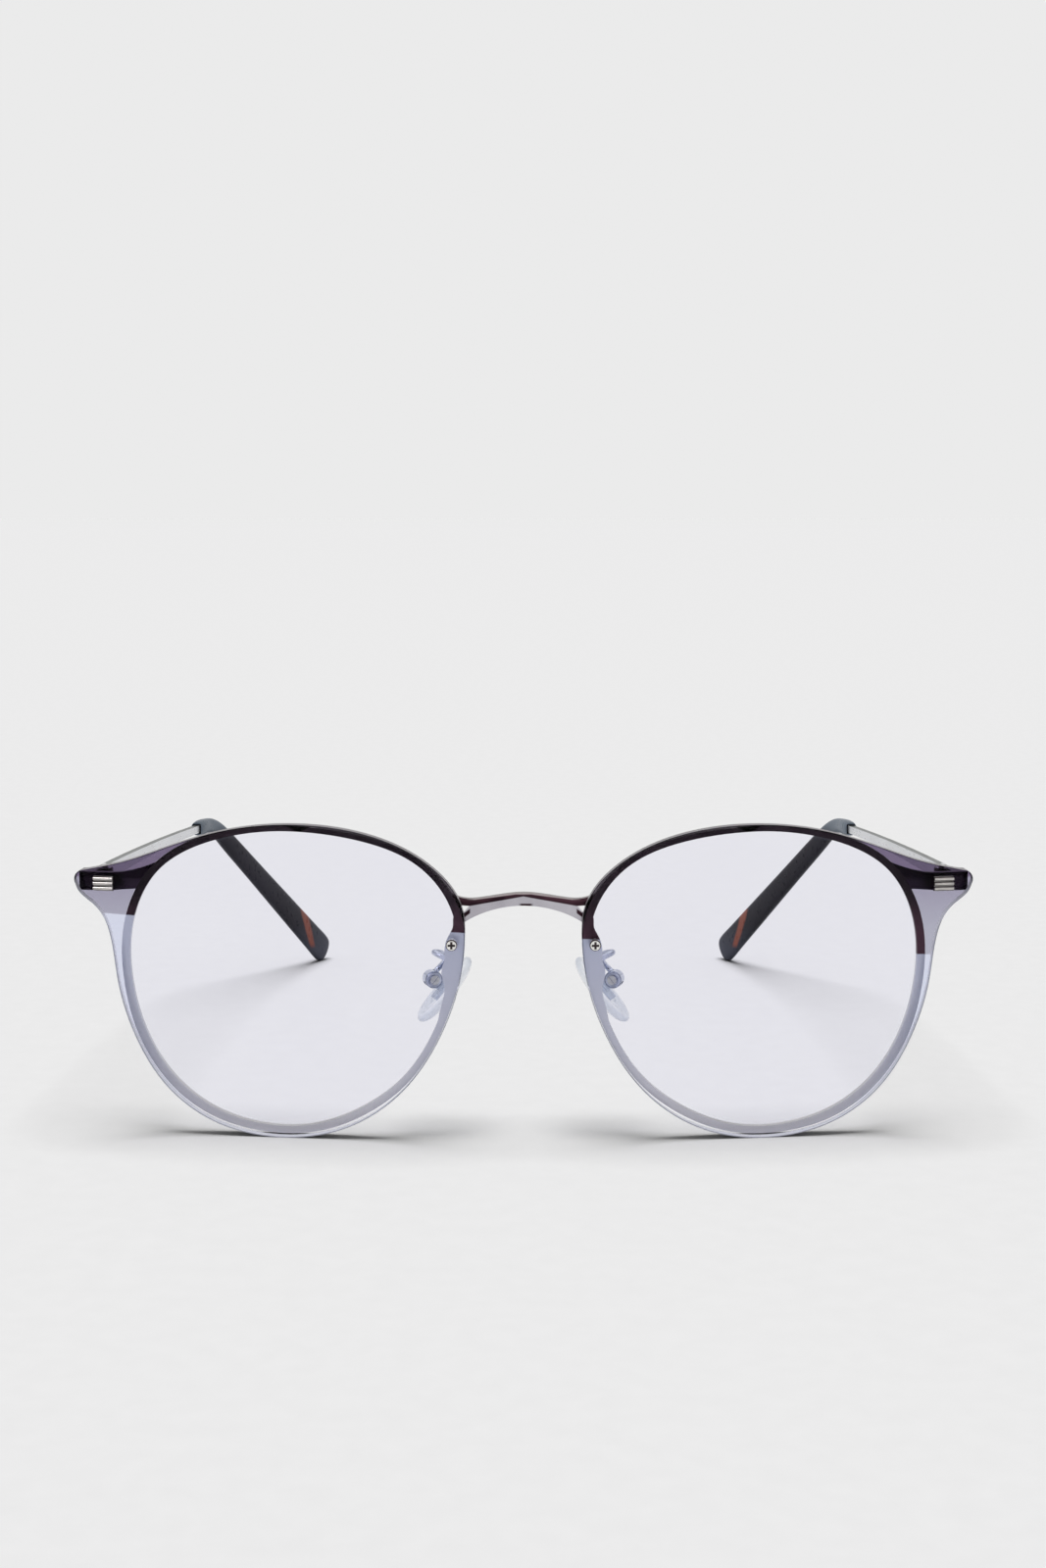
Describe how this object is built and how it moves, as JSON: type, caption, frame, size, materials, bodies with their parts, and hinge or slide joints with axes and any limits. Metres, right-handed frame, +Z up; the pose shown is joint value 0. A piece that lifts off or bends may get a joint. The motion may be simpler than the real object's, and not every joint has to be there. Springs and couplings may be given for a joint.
{
  "type": "round wire eyeglasses",
  "caption": "Round metal-rimmed eyeglasses with tinted lenses on the rim face, folding temples with dark tips and rocking nose pads.",
  "frame": {"origin": "middle of the overall box, on the surface the glasses stand on", "axes": "+X to the wearer's left, +Y back along the temples, +Z up"},
  "size_m": [0.142, 0.1432, 0.05],
  "materials": {
    "dark_metal": "polished dark gunmetal plating",
    "bridge_metal": "polished grey plating",
    "tinted_lens": "clear optical resin with a faint lavender tint",
    "bright_metal": "bright polished",
    "silver_wire": "polished wire",
    "temple_metal": "fine satin",
    "dark_tortoise": "polished dark tortoise",
    "clear_silicone": "clear soft silicone",
    "clear_sleeve": "clear moulded plastic"
  },
  "bodies": {
    "front": {"bridge": "bridge_metal", "left_lens": "tinted_lens", "right_lens": "tinted_lens", "left_rim": "dark_metal", "right_rim": "dark_metal", "left_lug": "dark_metal", "right_lug": "dark_metal", "left_clip": "bright_metal", "right_clip": "bright_metal", "left_lens_screw": "bright_metal", "right_lens_screw": "bright_metal", "left_lens_sleeve": "clear_sleeve", "right_lens_sleeve": "clear_sleeve", "left_lens_nut": "bright_metal", "right_lens_nut": "bright_metal", "left_pad_arm": "silver_wire", "right_pad_arm": "silver_wire", "left_pad_box": "silver_wire", "right_pad_box": "silver_wire", "left_pad_screw": "bright_metal", "right_pad_screw": "bright_metal", "left_hinge_front": "dark_metal", "right_hinge_front": "dark_metal", "left_hinge_screw": "bright_metal", "right_hinge_screw": "bright_metal"},
    "left_arm": {"left_hinge_rear": "temple_metal", "left_temple": "temple_metal", "left_temple_tip": "dark_tortoise"},
    "left_pad": {"left_nose_pad": "clear_silicone", "left_pad_stem": "clear_sleeve"},
    "right_arm": {"right_hinge_rear": "temple_metal", "right_temple": "temple_metal", "right_temple_tip": "dark_tortoise"},
    "right_pad": {"right_nose_pad": "clear_silicone", "right_pad_stem": "clear_sleeve"}
  },
  "joints": [
    {"name": "left_temple_fold", "type": "hinge", "parent": "front", "child": "left_arm", "pos_m": [0.067, -0.05815, 0.0401], "axis": [0, 0, 1], "range_deg": [0, 81]},
    {"name": "right_temple_fold", "type": "hinge", "parent": "front", "child": "right_arm", "pos_m": [-0.067, -0.05815, 0.0401], "axis": [0, 0, -1], "range_deg": [0, 73]},
    {"name": "left_pad_rock", "type": "hinge", "parent": "front", "child": "left_pad", "pos_m": [0.01448, -0.06263, 0.02437], "axis": [-0.2796, -0.9588, 0.0499], "range_deg": [-8, 8]},
    {"name": "right_pad_rock", "type": "hinge", "parent": "front", "child": "right_pad", "pos_m": [-0.01448, -0.06263, 0.02437], "axis": [-0.2796, 0.9588, -0.0499], "range_deg": [-8, 8]}
  ]
}
